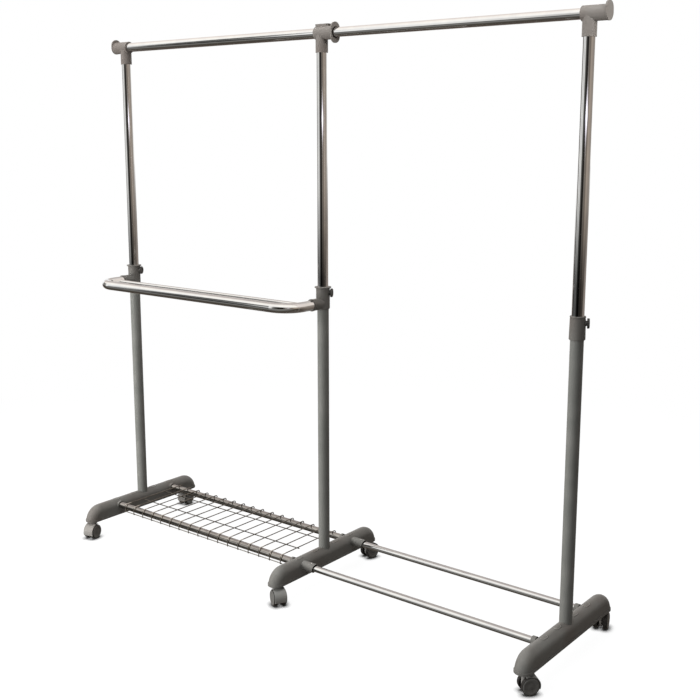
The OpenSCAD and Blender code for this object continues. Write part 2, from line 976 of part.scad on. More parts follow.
left_foot();
mid_foot();
right_foot();
left_lower_tube();
mid_lower_tube();
right_lower_tube();
left_upper_tube();
mid_upper_tube();
right_upper_tube();
left_collar();
mid_collar();
right_collar();
left_tee();
mid_tee();
right_tee();
left_rail();
right_rail();
hanging_bar();
tie_rod();
front_shelf_tube();
back_shelf_tube();
front_rod();
back_rod();
wire_shelf();
left_knob();
mid_knob();
right_knob();
left_pad();
mid_pad();
right_pad();
post_bolts();
post_plugs();
right_post_bolt();
right_post_plug();
stem_lf();
stem_lb();
stem_mf();
stem_mb();
stem_rf();
stem_rb();
hood_lf();
hood_lb();
hood_mf();
hood_mb();
hood_rf();
hood_rb();
wheels_lf();
wheels_lb();
wheels_mf();
wheels_mb();
wheels_rf();
wheels_rb();
axle_lf();
axle_lb();
axle_mf();
axle_mb();
axle_rf();
axle_rb();
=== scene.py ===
import math
import random

import bmesh
import bpy
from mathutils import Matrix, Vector
from mathutils.bvhtree import BVHTree


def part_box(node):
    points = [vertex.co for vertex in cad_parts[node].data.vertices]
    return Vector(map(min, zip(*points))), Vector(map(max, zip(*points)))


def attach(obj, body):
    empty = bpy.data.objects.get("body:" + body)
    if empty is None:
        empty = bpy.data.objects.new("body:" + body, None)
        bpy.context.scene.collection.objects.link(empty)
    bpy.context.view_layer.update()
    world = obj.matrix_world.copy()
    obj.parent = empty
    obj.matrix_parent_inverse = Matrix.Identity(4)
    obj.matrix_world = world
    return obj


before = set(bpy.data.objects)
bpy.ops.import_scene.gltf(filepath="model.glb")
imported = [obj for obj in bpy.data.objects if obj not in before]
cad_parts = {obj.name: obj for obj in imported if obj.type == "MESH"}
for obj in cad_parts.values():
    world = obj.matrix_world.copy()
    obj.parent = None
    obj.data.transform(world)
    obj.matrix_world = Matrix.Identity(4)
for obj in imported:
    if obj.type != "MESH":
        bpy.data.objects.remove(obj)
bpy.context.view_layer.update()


# ---- Feet ----
# The three feet are open-bottomed polypropylene mouldings with domed ends. The mould was
# spark eroded, so the skin has a fine satin grain, and handling leaves faint paler scuffs.

def linear(hex_colour):
    """An sRGB hex colour as the linear RGBA that the shader sockets take."""
    parts = [int(hex_colour[i:i + 2], 16) / 255 for i in (1, 3, 5)]
    lin = [c / 12.92 if c <= 0.04045 else ((c + 0.055) / 1.055) ** 2.4 for c in parts]
    return (*lin, 1.0)


def add(tree, kind, settings=None, links=None):
    """Adds one node, gives it its settings and joins its inputs to earlier outputs."""
    made = tree.nodes.new(kind)
    for name, value in (settings or {}).items():
        if isinstance(name, int) or name in made.inputs:
            made.inputs[name].default_value = value
        else:
            setattr(made, name, value)
    for name, output in (links or {}).items():
        tree.links.new(output, made.inputs[name])
    return made


def per_metre(millimetres):
    """Noise scale whose features are about this many millimetres across."""
    return 1000.0 / millimetres


def dress(material, *nodes):
    """Gives CAD nodes this material in every slot."""
    for node in nodes:
        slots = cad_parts[node].data.materials
        for i in range(len(slots)):
            slots[i] = material


def moulded_polypropylene(name, body, scuff, rough, grain_depth):
    """Satin moulded plastic: drifting tone, spark-eroded grain, softened edges, pale scuffs."""
    # The eroded grain is really about 0.1 mm. It is drawn at 0.9 mm, so that it still shows
    # as a faint satin speckle.
    material = bpy.data.materials.new(name)
    material.use_nodes = True
    tree = material.node_tree
    skin = tree.nodes["Principled BSDF"]
    skin.inputs["IOR"].default_value = 1.49
    place = add(tree, "ShaderNodeTexCoord")
    drift = add(tree, "ShaderNodeTexNoise", {"Scale": per_metre(85), "Detail": 3.0},
                {"Vector": place.outputs["Object"]})
    rubbed = add(tree, "ShaderNodeTexNoise", {"Scale": per_metre(7), "Detail": 6.0, "Roughness": 0.7},
                 {"Vector": place.outputs["Object"]})
    rubbed_spots = add(tree, "ShaderNodeMapRange",
                       {"From Min": 0.60, "From Max": 0.78, "To Min": 0.0, "To Max": 0.55},
                       {"Value": rubbed.outputs["Fac"]})
    tone = add(tree, "ShaderNodeValToRGB", {}, {"Fac": drift.outputs["Fac"]})
    dark = [c * drop for c, drop in zip(linear(body), (0.90, 0.85, 0.83))]
    light = [c * lift for c, lift in zip(linear(body), (1.10, 1.14, 1.15))]
    tone.color_ramp.elements[0].color = (*dark, 1.0)
    tone.color_ramp.elements[0].position = 0.3
    tone.color_ramp.elements[1].color = (*light, 1.0)
    tone.color_ramp.elements[1].position = 0.7
    worn = add(tree, "ShaderNodeMix", {"data_type": "RGBA", 7: linear(scuff)},
               {0: rubbed_spots.outputs["Result"], 6: tone.outputs["Color"]})
    tree.links.new(worn.outputs[2], skin.inputs["Base Color"])
    grit = add(tree, "ShaderNodeTexNoise", {"Scale": per_metre(0.9), "Detail": 2.0},
               {"Vector": place.outputs["Object"]})
    sheen = add(tree, "ShaderNodeMapRange", {"To Min": rough - 0.07, "To Max": rough + 0.09},
                {"Value": rubbed.outputs["Fac"]})
    tree.links.new(sheen.outputs["Result"], skin.inputs["Roughness"])
    edge = add(tree, "ShaderNodeBevel", {"samples": 6, "Radius": 0.0005})
    grain = add(tree, "ShaderNodeBump", {"Strength": 0.35, "Distance": grain_depth},
                {"Height": grit.outputs["Fac"], "Normal": edge.outputs["Normal"]})
    tree.links.new(grain.outputs["Normal"], skin.inputs["Normal"])
    return material


foot_plastic = moulded_polypropylene("warm_grey_foot_polypropylene", "#6f6d69", "#92908c", 0.46, 0.00012)
dress(foot_plastic, "left_foot", "mid_foot", "right_foot")


# ---- Ovals on the feet ----
# Four moulded ovals on top of each foot: a raised pad whose lip is a pale ribbon of painted
# highlight, and round the lip the sunken line where the mould's insert met its cavity, painted as a dark
# shadow line.

# The pale lip colour is a painted highlight, and the dark line colour is painted shadow.
painted_highlight_lip_plastic = moulded_polypropylene("painted_highlight_foot_polypropylene", "#aaa6a0", "#bcb8b2", 0.34, 0.00004)
painted_shadow_line_plastic = moulded_polypropylene("shaded_foot_polypropylene", "#262422", "#33302e", 0.55, 0.00008)
oval_length = 0.026
oval_width = 0.013
oval_places = (-0.112, -0.044, 0.044, 0.112)
oval_steps = 64
tucked_under = 0.0002
above_the_foot = 0.2
bands = (
    # finish, name, inner edge and outer edge from the oval, height over the foot
    (painted_shadow_line_plastic, "oval_shadow_lines", 0.00035, 0.0014, 0.00010),
    (painted_highlight_lip_plastic, "oval_highlight_lips", -0.0011, 0.00035, 0.00022),
)
for foot, tube, body in (("left_foot", "left_lower_tube", "base"), ("mid_foot", "mid_lower_tube", "base"),
                         ("right_foot", "right_lower_tube", "right_base")):
    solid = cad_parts[foot]
    skin_of_foot = BVHTree.FromPolygons([solid.matrix_world @ v.co for v in solid.data.vertices],
                                        [p.vertices[:] for p in solid.data.polygons])
    middle = sum(c[0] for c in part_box(tube)) / 2
    for paint, label, inner, outer, proud in bands:
        ribbon = bmesh.new()
        for oval_y in oval_places:
            loops = []
            for grown in (inner - tucked_under, inner, outer, outer + tucked_under):
                height = -tucked_under if grown < inner or grown > outer else proud
                loop = []
                for k in range(oval_steps):
                    turned = 2 * math.pi * k / oval_steps
                    radius = oval_width / 2 + grown
                    straight = (oval_length - oval_width) / 2 * (1 if math.sin(turned) >= 0 else -1)
                    x = middle + radius * math.cos(turned)
                    y = oval_y + straight + radius * math.sin(turned)
                    hit = skin_of_foot.ray_cast(Vector((x, y, above_the_foot)), Vector((0, 0, -1)))
                    loop.append(ribbon.verts.new((x, y, hit[0].z + height)))
                loops.append(loop)
            for near, far in zip(loops, loops[1:] + loops[:1]):
                for k in range(oval_steps):
                    n = (k + 1) % oval_steps
                    ribbon.faces.new((near[k], near[n], far[n], far[k]))
        bmesh.ops.recalc_face_normals(ribbon, faces=ribbon.faces)
        ribbon_mesh = bpy.data.meshes.new(foot + "_" + label)
        ribbon.to_mesh(ribbon_mesh)
        ribbon.free()
        outline = bpy.data.objects.new(foot + "_" + label, ribbon_mesh)
        bpy.context.collection.objects.link(outline)
        ribbon_mesh.materials.append(paint)
        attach(outline, body)


# ---- Lower posts ----
# Welded steel tube with a smooth mid-grey powder coat. The baked powder flows out into a
# slight orange peel a few millimetres across and keeps a soft satin gloss.

powder_coat = bpy.data.materials.new("grey_powder_coated_steel")
powder_coat.use_nodes = True
tree = powder_coat.node_tree
skin = tree.nodes["Principled BSDF"]
skin.inputs["IOR"].default_value = 1.5
place = add(tree, "ShaderNodeTexCoord")
peel = add(tree, "ShaderNodeTexNoise", {"Scale": per_metre(3.2), "Detail": 2.0},
           {"Vector": place.outputs["Object"]})
speck = add(tree, "ShaderNodeTexNoise", {"Scale": per_metre(1.1), "Detail": 3.0},
            {"Vector": place.outputs["Object"]})
cloud = add(tree, "ShaderNodeTexNoise", {"Scale": per_metre(60), "Detail": 2.0},
            {"Vector": place.outputs["Object"]})
tint = add(tree, "ShaderNodeValToRGB", {}, {"Fac": cloud.outputs["Fac"]})
tint.color_ramp.elements[0].color = linear("#747571")
tint.color_ramp.elements[0].position = 0.35
tint.color_ramp.elements[1].color = linear("#80807c")
tint.color_ramp.elements[1].position = 0.65
fleck = add(tree, "ShaderNodeMapRange", {"From Min": 0.35, "From Max": 0.7, "To Max": 0.22},
            {"Value": speck.outputs["Fac"]})
coat = add(tree, "ShaderNodeMix", {"data_type": "RGBA", 7: linear("#8e8c87")},
           {0: fleck.outputs["Result"], 6: tint.outputs["Color"]})
tree.links.new(coat.outputs[2], skin.inputs["Base Color"])
gloss = add(tree, "ShaderNodeMapRange", {"To Min": 0.36, "To Max": 0.50}, {"Value": speck.outputs["Fac"]})
tree.links.new(gloss.outputs["Result"], skin.inputs["Roughness"])
flow = add(tree, "ShaderNodeBump", {"Strength": 0.25, "Distance": 0.0003},
           {"Height": peel.outputs["Fac"]})
tree.links.new(flow.outputs["Normal"], skin.inputs["Normal"])
dress(powder_coat, "left_lower_tube", "mid_lower_tube", "right_lower_tube")


# ---- Upper posts, hanging rails, floor rods and lower bar ----
# Drawn steel tube with bright chrome plating. The draw lines run along the tube and barely
# break the reflections, and fingers leave a film that dulls it in patches.

def bright_chrome(name, along, dark="#ebebec", light="#f3f3f2", painted_top_shade=0.0):
    """Chrome plate on drawn tube, the draw lines along one axis, with painted shade greying what faces up.
    """
    # Real draw lines lie a few hundredths of a millimetre apart. They are drawn 1.2 mm apart,
    # so that the reflections still waver a little.
    material = bpy.data.materials.new(name)
    material.use_nodes = True
    tree = material.node_tree
    skin = tree.nodes["Principled BSDF"]
    skin.inputs["Metallic"].default_value = 1.0
    place = add(tree, "ShaderNodeTexCoord")
    stretch = [per_metre(1.2)] * 3
    stretch[along] = per_metre(260)
    lines_at = add(tree, "ShaderNodeMapping", {"Scale": stretch}, {"Vector": place.outputs["Object"]})
    lines = add(tree, "ShaderNodeTexNoise", {"Scale": 1.0, "Detail": 4.0},
                {"Vector": lines_at.outputs["Vector"]})
    film = add(tree, "ShaderNodeTexNoise", {"Scale": per_metre(38), "Detail": 5.0, "Roughness": 0.6},
               {"Vector": place.outputs["Object"]})
    tone = add(tree, "ShaderNodeValToRGB", {}, {"Fac": film.outputs["Fac"]})
    tone.color_ramp.elements[0].color = linear(dark)
    tone.color_ramp.elements[0].position = 0.4
    tone.color_ramp.elements[1].color = linear(light)
    tone.color_ramp.elements[1].position = 0.62
    surface = add(tree, "ShaderNodeNewGeometry")
    facing = add(tree, "ShaderNodeSeparateXYZ", {}, {"Vector": surface.outputs["Normal"]})
    # Faces that turn up are greyed: painted shade that dims the reflection they show from above.
    top_shade_mask = add(tree, "ShaderNodeMapRange",
                  {"interpolation_type": "SMOOTHSTEP", "From Min": 0.62, "From Max": 0.92,
                   "To Max": painted_top_shade}, {"Value": facing.outputs["Z"]})
    top_shaded_tone = add(tree, "ShaderNodeMix", {"data_type": "RGBA", 7: linear("#7d7b80")},
                {0: top_shade_mask.outputs["Result"], 6: tone.outputs["Color"]})
    tree.links.new(top_shaded_tone.outputs[2], skin.inputs["Base Color"])
    dulled = add(tree, "ShaderNodeMapRange",
                 {"From Min": 0.35, "From Max": 0.75, "To Min": 0.035, "To Max": 0.085},
                 {"Value": film.outputs["Fac"]})
    tree.links.new(dulled.outputs["Result"], skin.inputs["Roughness"])
    drawn = add(tree, "ShaderNodeBump", {"Strength": 0.02, "Distance": 0.00002},
                {"Height": lines.outputs["Fac"]})
    tree.links.new(drawn.outputs["Normal"], skin.inputs["Normal"])
    return material


lengthwise, upright = 0, 2
post_chrome = bright_chrome("bright_chrome_upright_tube", upright)
dress(post_chrome, "left_upper_tube", "mid_upper_tube", "right_upper_tube")
rail_chrome = bright_chrome("bright_chrome_lengthwise_tube", lengthwise)
dress(rail_chrome, "left_rail", "right_rail")
# The bar, tie rod and floor rods carry painted shade on their upper faces.
bar_chrome = bright_chrome("top_shaded_chrome_bar", lengthwise, painted_top_shade=0.5)
dress(bar_chrome, "hanging_bar", "tie_rod")
rod_chrome = bright_chrome("top_shaded_chrome_floor_rod", lengthwise, painted_top_shade=0.6)
dress(rod_chrome, "front_rod", "back_rod")
# The shelf tubes' chrome is painted darker as shade, and their tops carry painted shade as well.
shaded_shelf_tube_chrome = bright_chrome("shaded_chrome_shelf_tube", lengthwise, "#a29e9a", "#b5b1ac", 0.45)
dress(shaded_shelf_tube_chrome, "front_shelf_tube", "back_shelf_tube")


# ---- Tees and clamp collars ----
# Moulded polypropylene fittings that hold the rails on the posts, and the collars that
# clamp the upper posts, a shade darker. The knobs are black ABS with a little more gloss, the
# pads behind their screws and the plugs in the posts plain black nylon.

tee_plastic = moulded_polypropylene("warm_grey_tee_polypropylene", "#78726d", "#928c86", 0.44, 0.0001)
dress(tee_plastic, "left_tee", "mid_tee", "right_tee")
collar_plastic = moulded_polypropylene("dark_grey_collar_polypropylene", "#6b6864", "#868480", 0.44, 0.0001)
dress(collar_plastic, "left_collar", "mid_collar", "right_collar")
knob_plastic = moulded_polypropylene("black_grey_knob_abs", "#403e3c", "#6a6764", 0.38, 0.00008)
dress(knob_plastic, "left_knob", "mid_knob", "right_knob")
pad_plastic = moulded_polypropylene("black_nylon", "#232322", "#3f3e3d", 0.5, 0.00006)
dress(pad_plastic, "left_pad", "mid_pad", "right_pad", "post_plugs", "right_post_plug")


# ---- Wire shelf ----
# Mild steel wire, resistance welded where the wires cross and then nickel-chrome plated.
# The plate is thin and hazy, and the hooks over the front tube carry a painted highlight. The
# skin's fine pits are drawn at 0.8 mm, coarser than real, so that they show.

wire_d = 0.003
highlight_from = -0.095
highlight_past = -0.105
wire_plate = bpy.data.materials.new("plated_welded_wire")
wire_plate.use_nodes = True
tree = wire_plate.node_tree
skin = tree.nodes["Principled BSDF"]
skin.inputs["Metallic"].default_value = 1.0
place = add(tree, "ShaderNodeTexCoord")
dull = add(tree, "ShaderNodeTexNoise", {"Scale": per_metre(14), "Detail": 4.0},
           {"Vector": place.outputs["Object"]})
plate = add(tree, "ShaderNodeValToRGB", {}, {"Fac": dull.outputs["Fac"]})
plate.color_ramp.elements[0].color = linear("#69655f")
plate.color_ramp.elements[0].position = 0.35
plate.color_ramp.elements[1].color = linear("#837e78")
plate.color_ramp.elements[1].position = 0.65
# Past the front tube the colour is lifted to a pale grey: a painted highlight on the front hooks.
from_middle = add(tree, "ShaderNodeSeparateXYZ", {}, {"Vector": place.outputs["Object"]})
hook_highlight_mask = add(tree, "ShaderNodeMapRange", {"From Min": highlight_from, "From Max": highlight_past},
               {"Value": from_middle.outputs["Y"]})
hook_highlighted_plate = add(tree, "ShaderNodeMix", {"data_type": "RGBA", 7: linear("#cfcbc4")},
                 {0: hook_highlight_mask.outputs["Result"], 6: plate.outputs["Color"]})
tree.links.new(hook_highlighted_plate.outputs[2], skin.inputs["Base Color"])
haze = add(tree, "ShaderNodeMapRange", {"To Min": 0.30, "To Max": 0.48}, {"Value": dull.outputs["Fac"]})
tree.links.new(haze.outputs["Result"], skin.inputs["Roughness"])
pits = add(tree, "ShaderNodeTexNoise", {"Scale": per_metre(0.8)}, {"Vector": place.outputs["Object"]})
rough_skin = add(tree, "ShaderNodeBump", {"Strength": 0.2, "Distance": 0.00005},
                 {"Height": pits.outputs["Fac"]})
tree.links.new(rough_skin.outputs["Normal"], skin.inputs["Normal"])
dress(wire_plate, "wire_shelf")

# Each crossing shows a small flattened nugget where the current squeezed the wires together:
# on top of the shelf it lies flat, and at the ends of the hooks it stands against them.

cross_wires = 17
wire_end = 0.004
inner_wire_y = 0.047
nugget_radius = wire_d * 0.62
flattened = 0.45
narrowest, widest = 0.9, 1.15
shelf_low, shelf_high = (Vector(c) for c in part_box("wire_shelf"))
first_wire = shelf_low.x + wire_end
last_wire = shelf_high.x - wire_end
cross_z = shelf_high.z - wire_d / 2
random.seed(5)
nuggets = bmesh.new()
for i in range(cross_wires):
    x = first_wire + (last_wire - first_wire) * i / (cross_wires - 1)
    for side in (-1, 1):
        seats = ((side * inner_wire_y, cross_z - 0.45 * wire_d, 0),
                 (side * (shelf_high.y - 0.95 * wire_d), shelf_low.z + wire_d / 2, 1))
        for y, z, standing in seats:
            made = bmesh.ops.create_icosphere(nuggets, subdivisions=2, radius=nugget_radius)
            for v in made["verts"]:
                v.co.x *= random.uniform(narrowest, widest)
                v.co.y *= flattened if standing else random.uniform(narrowest, widest)
                v.co.z *= random.uniform(narrowest, widest) if standing else flattened
                v.co += Vector((x, y, z))
nugget_mesh = bpy.data.meshes.new("weld_nuggets")
nuggets.to_mesh(nugget_mesh)
nuggets.free()
for face in nugget_mesh.polygons:
    face.use_smooth = True
weld_nuggets = bpy.data.objects.new("weld_nuggets", nugget_mesh)
bpy.context.collection.objects.link(weld_nuggets)
nugget_mesh.materials.append(wire_plate)
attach(weld_nuggets, "shelf")


# ---- Snap buttons ----
# Sprung steel buttons stand in the holes on top of the middle foot's long sockets and keep
# the shelf tubes from pulling out. They are pressed from strip and plated bright.

button_profile = ((2.05, 0.2), (2.05, 1.9), (1.9, 2.6), (1.4, 3.2), (0.7, 3.5), (0.0, 3.6))
button_steps = 24
button_from_post = 0.04775
tube_lines = (-0.112, 0.112)
buttons = bmesh.new()
button_x = sum(c[0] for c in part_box("mid_lower_tube")) / 2 + button_from_post
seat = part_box("front_shelf_tube")[1][2]
for y in tube_lines:
    rings = []
    for radius, height in button_profile:
        angles = [2 * math.pi * k / button_steps for k in range(button_steps)] if radius else [0.0]
        rings.append([buttons.verts.new((button_x + radius / 1000 * math.cos(a),
                                         y + radius / 1000 * math.sin(a),
                                         seat + height / 1000)) for a in angles])
    buttons.faces.new(rings[0][::-1])
    for lower, upper in zip(rings, rings[1:]):
        for k in range(button_steps):
            n = (k + 1) % button_steps
            corner = [lower[k], lower[n], upper[n % len(upper)], upper[k % len(upper)]]
            buttons.faces.new(list(dict.fromkeys(corner)))
button_mesh = bpy.data.meshes.new("snap_buttons")
buttons.to_mesh(button_mesh)
buttons.free()
for face in button_mesh.polygons:
    face.use_smooth = True
snap_buttons = bpy.data.objects.new("snap_buttons", button_mesh)
bpy.context.collection.objects.link(snap_buttons)
button_mesh.materials.append(bright_chrome("plated_spring_button", upright))
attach(snap_buttons, "base")


# ---- Casters ----
# Twin-wheel furniture casters: a polypropylene hood and dark hard wheels pressed on a steel
# axle, turning on a black steel stem whose grip sleeve is pushed into the foot.

corners = ("lf", "lb", "mf", "mb", "rf", "rb")
hood_plastic = moulded_polypropylene("warm_grey_hood_polypropylene", "#8d8b87", "#a6a49f", 0.45, 0.0001)
dress(hood_plastic, *("hood_" + c for c in corners))
wheel_plastic = moulded_polypropylene("black_wheel_nylon", "#2d2b29", "#55524e", 0.42, 0.00012)
dress(wheel_plastic, *("wheels_" + c for c in corners))

# The stems are oil-blackened steel, dark with dull brown-black clouds.

black_steel = bpy.data.materials.new("blackened_stem_steel")
black_steel.use_nodes = True
tree = black_steel.node_tree
skin = tree.nodes["Principled BSDF"]
place = add(tree, "ShaderNodeTexCoord")
oil = add(tree, "ShaderNodeTexNoise", {"Scale": per_metre(4), "Detail": 4.0},
          {"Vector": place.outputs["Object"]})
black = add(tree, "ShaderNodeValToRGB", {}, {"Fac": oil.outputs["Fac"]})
black.color_ramp.elements[0].color = linear("#161616")
black.color_ramp.elements[1].color = linear("#34322f")
tree.links.new(black.outputs["Color"], skin.inputs["Base Color"])
film = add(tree, "ShaderNodeMapRange", {"To Min": 0.3, "To Max": 0.55}, {"Value": oil.outputs["Fac"]})
tree.links.new(film.outputs["Result"], skin.inputs["Roughness"])
dress(black_steel, *("stem_" + c for c in corners))

# The axles, and the bolts under the posts, have thin zinc plate with a grey satin bloom.

zinc = bpy.data.materials.new("zinc_plated_steel")
zinc.use_nodes = True
tree = zinc.node_tree
skin = tree.nodes["Principled BSDF"]
skin.inputs["Metallic"].default_value = 1.0
place = add(tree, "ShaderNodeTexCoord")
spangle = add(tree, "ShaderNodeTexNoise", {"Scale": per_metre(3), "Detail": 5.0},
              {"Vector": place.outputs["Object"]})
bloom = add(tree, "ShaderNodeValToRGB", {}, {"Fac": spangle.outputs["Fac"]})
bloom.color_ramp.elements[0].color = linear("#9c9b98")
bloom.color_ramp.elements[1].color = linear("#c4c3bf")
tree.links.new(bloom.outputs["Color"], skin.inputs["Base Color"])
satin = add(tree, "ShaderNodeMapRange", {"To Min": 0.25, "To Max": 0.45},
            {"Value": spangle.outputs["Fac"]})
tree.links.new(satin.outputs["Result"], skin.inputs["Roughness"])
dress(zinc, "post_bolts", "right_post_bolt", *("axle_" + c for c in corners))


# ---- Wheel covers ----
# Each wheel wears a press-fit cover disc, moulded in a grey close to the hood's and dished
# between its rolled rim and the boss over the axle. The covers turn with the wheels.

cover_plastic = moulded_polypropylene("warm_grey_cover_polypropylene", "#686764", "#868480", 0.45, 0.0001)
cover_seat = 0.01803
cover_steps = 48
cover_profile = (
    (0.0, 1.30), (2.6, 1.30), (3.1, 1.22), (3.6, 1.05), (15.6, 1.00), (16.3, 1.12), (17.0, 1.27),
    (18.9, 1.25), (19.8, 1.0), (20.3, 0.5), (20.4, 0.0), (19.3, 0.0), (17.8, 0.86), (0.0, 0.86),
)
for c in corners:
    axle_low, axle_high = (Vector(v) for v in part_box("axle_" + c))
    stem_low, stem_high = (Vector(v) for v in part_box("stem_" + c))
    centre = (axle_low + axle_high) / 2
    trailing = centre - (stem_low + stem_high) / 2
    trailing = Vector((trailing.x, trailing.y, 0.0)).normalized()
    across = Vector((-trailing.y, trailing.x, 0.0))
    discs = bmesh.new()
    for side in (-1, 1):
        rings = []
        for radius, height in cover_profile:
            hub = centre + across * side * (cover_seat + height / 1000)
            angles = [2 * math.pi * k / cover_steps for k in range(cover_steps)] if radius else [0.0]
            spokes = [trailing * math.cos(a) + Vector((0, 0, 1)) * math.sin(a) for a in angles]
            rings.append([discs.verts.new(hub + spoke * radius / 1000) for spoke in spokes])
        for inner, outer in zip(rings, rings[1:]):
            for k in range(cover_steps):
                corner = [inner[k % len(inner)], outer[k % len(outer)],
                          outer[(k + 1) % len(outer)], inner[(k + 1) % len(inner)]]
                discs.faces.new(list(dict.fromkeys(corner)))
    bmesh.ops.recalc_face_normals(discs, faces=discs.faces)
    cover_mesh = bpy.data.meshes.new("wheel_covers_" + c)
    discs.to_mesh(cover_mesh)
    discs.free()
    for face in cover_mesh.polygons:
        face.use_smooth = True
    covers = bpy.data.objects.new("wheel_covers_" + c, cover_mesh)
    bpy.context.collection.objects.link(covers)
    cover_mesh.materials.append(cover_plastic)
    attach(covers, "wheel_pair_" + c)


# ---- Floor ----
# A pale paper floor that blends into the backdrop away from the rack. It keeps the soft
# contact shadow under the wheels and, for diffuse light, has the dull grey of a bare floor.

floor_mesh = bpy.data.meshes.new("studio_floor")
sheet = bmesh.new()
bmesh.ops.create_grid(sheet, x_segments=8, y_segments=8, size=12.0)
sheet.to_mesh(floor_mesh)
sheet.free()
studio_floor = bpy.data.objects.new("studio_floor", floor_mesh)
bpy.context.collection.objects.link(studio_floor)
paper = bpy.data.materials.new("white_paper_sweep")
paper.use_nodes = True
tree = paper.node_tree
tree.nodes.clear()
ray = add(tree, "ShaderNodeLightPath")
place = add(tree, "ShaderNodeTexCoord")
reach = add(tree, "ShaderNodeVectorMath", {"operation": "LENGTH"}, {0: place.outputs["Object"]})
away = add(tree, "ShaderNodeMapRange",
           {"interpolation_type": "SMOOTHSTEP", "From Min": 1.2, "From Max": 2.6},
           {"Value": reach.outputs["Value"]})
lit = add(tree, "ShaderNodeBsdfDiffuse", {"Color": (0.10, 0.10, 0.10, 1.0)})
contact = add(tree, "ShaderNodeAmbientOcclusion", {"samples": 12, "Distance": 0.018})
shaded = add(tree, "ShaderNodeMapRange", {"From Min": 0.50, "From Max": 0.95, "To Max": 0.95},
             {"Value": contact.outputs["AO"]})
glow = add(tree, "ShaderNodeEmission", {"Color": (1.0, 1.0, 1.0, 1.0)},
           {"Strength": shaded.outputs["Result"]})
near = add(tree, "ShaderNodeAddShader", {}, {0: lit.outputs[0], 1: glow.outputs[0]})
far = add(tree, "ShaderNodeEmission", {"Color": (1.0, 1.0, 1.0, 1.0), "Strength": 1.0})
seen = add(tree, "ShaderNodeMixShader", {},
           {0: away.outputs["Result"], 1: near.outputs[0], 2: far.outputs[0]})
bare = add(tree, "ShaderNodeBsdfDiffuse", {"Color": (0.27, 0.26, 0.25, 1.0)})
shown = add(tree, "ShaderNodeMixShader", {},
            {0: ray.outputs["Is Camera Ray"], 1: bare.outputs[0], 2: seen.outputs[0]})
add(tree, "ShaderNodeOutputMaterial", {}, {"Surface": shown.outputs[0]})
floor_mesh.materials.append(paper)
studio_floor.visible_glossy = False


# ---- Studio ----
# A white backdrop all round. The light that it throws on plastic and paint comes mostly from
# the upper left in front, and fades to a warm dusk on the far side.

world = bpy.data.worlds.new("white_studio")
bpy.context.scene.world = world
world.use_nodes = True
tree = world.node_tree
tree.nodes.clear()
ray = add(tree, "ShaderNodeLightPath")
place = add(tree, "ShaderNodeTexCoord")
key_side = add(tree, "ShaderNodeVectorMath", {"operation": "DOT_PRODUCT", 1: (-0.50, -0.36, 0.79)},
               {0: place.outputs["Generated"]})
lit_side = add(tree, "ShaderNodeMapRange", {"From Min": -1.0, "From Max": 1.0},
               {"Value": key_side.outputs["Value"]})
fill = add(tree, "ShaderNodeValToRGB", {}, {"Fac": lit_side.outputs["Result"]})
fill.color_ramp.elements[0].color = (0.045, 0.043, 0.040, 1.0)
fill.color_ramp.elements[0].position = 0.35
fill.color_ramp.elements[1].color = (0.52, 0.53, 0.54, 1.0)
fill.color_ramp.elements[1].position = 0.95
seen = add(tree, "ShaderNodeMath", {"operation": "MAXIMUM"},
           {0: ray.outputs["Is Camera Ray"], 1: ray.outputs["Is Transmission Ray"]})
mirrored = add(tree, "ShaderNodeMath", {"operation": "MAXIMUM"},
               {0: seen.outputs[0], 1: ray.outputs["Is Glossy Ray"]})
backdrop = add(tree, "ShaderNodeMix", {"data_type": "RGBA", 7: (1.0, 1.0, 1.0, 1.0)},
               {0: mirrored.outputs[0], 6: fill.outputs["Color"]})
sky = add(tree, "ShaderNodeBackground", {"Strength": 1.0}, {"Color": backdrop.outputs[2]})
add(tree, "ShaderNodeOutputWorld", {}, {"Surface": sky.outputs[0]})


# ---- Room ----
# The painted room that polished metal mirrors, seen by nothing else: a white ceiling and
# window side, dark flags at eye level in front, and a dim warm floor further down.

def ring_of_colours(ramp, shades):
    """Sets a ramp's stops from colours given at headings between -180 and 180 degrees."""
    stops = ramp.color_ramp.elements
    stops[0].color = linear(shades[0][1])
    stops[1].position = (shades[-1][0] + 180) / 360
    stops[1].color = linear(shades[-1][1])
    for heading, shade in shades[1:-1]:
        stops.new((heading + 180) / 360).color = linear(shade)


walls_mesh = bpy.data.meshes.new("room_walls")
dome = bmesh.new()
bmesh.ops.create_uvsphere(dome, u_segments=32, v_segments=16, radius=40.0)
dome.to_mesh(walls_mesh)
dome.free()
room_walls = bpy.data.objects.new("room_walls", walls_mesh)
bpy.context.collection.objects.link(room_walls)
painted = bpy.data.materials.new("room_paint")
painted.use_nodes = True
painted.cycles.emission_sampling = "NONE"
tree = painted.node_tree
tree.nodes.clear()
place = add(tree, "ShaderNodeTexCoord")
way = add(tree, "ShaderNodeVectorMath", {"operation": "NORMALIZE"}, {0: place.outputs["Object"]})
toward = add(tree, "ShaderNodeSeparateXYZ", {}, {"Vector": way.outputs["Vector"]})
turn = add(tree, "ShaderNodeMath", {"operation": "ARCTAN2"},
           {0: toward.outputs["Y"], 1: toward.outputs["X"]})
share = add(tree, "ShaderNodeMapRange", {"From Min": -math.pi, "From Max": math.pi},
            {"Value": turn.outputs[0]})
eye_level = add(tree, "ShaderNodeValToRGB", {}, {"Fac": share.outputs["Result"]})
